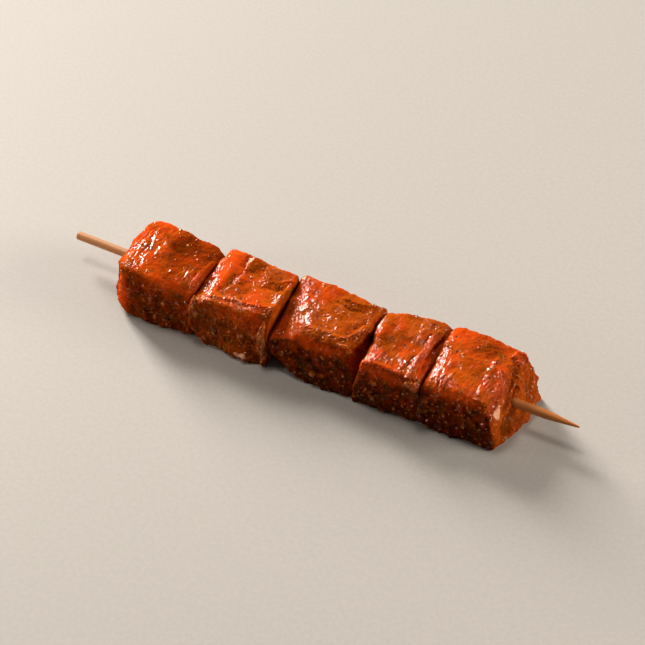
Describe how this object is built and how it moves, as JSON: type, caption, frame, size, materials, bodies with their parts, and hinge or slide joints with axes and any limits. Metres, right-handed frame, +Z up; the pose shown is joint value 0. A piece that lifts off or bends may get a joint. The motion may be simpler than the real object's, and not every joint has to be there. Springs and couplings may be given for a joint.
{
  "type": "marinated lamb skewer",
  "caption": "Cubes of raw lamb in an orange-red marinade, threaded on a round pointed bamboo stick and lying flat.",
  "frame": {"origin": "on the surface that the skewer lies on, under the middle of the stick", "axes": "+X along the stick towards its pointed end, +Y towards the back, +Z up"},
  "size_m": [0.2, 0.0339, 0.0224],
  "materials": {
    "bamboo": "plain pale bamboo, smooth, with fine lengthwise grain",
    "marinated_lamb": "raw meat under a wet, oily orange-red spice marinade"
  },
  "bodies": {
    "root": {"skewer": "bamboo", "lamb_cube_1": "marinated_lamb", "lamb_cube_2": "marinated_lamb", "lamb_cube_3": "marinated_lamb", "lamb_cube_4": "marinated_lamb", "lamb_cube_5": "marinated_lamb"}
  },
  "joints": []
}
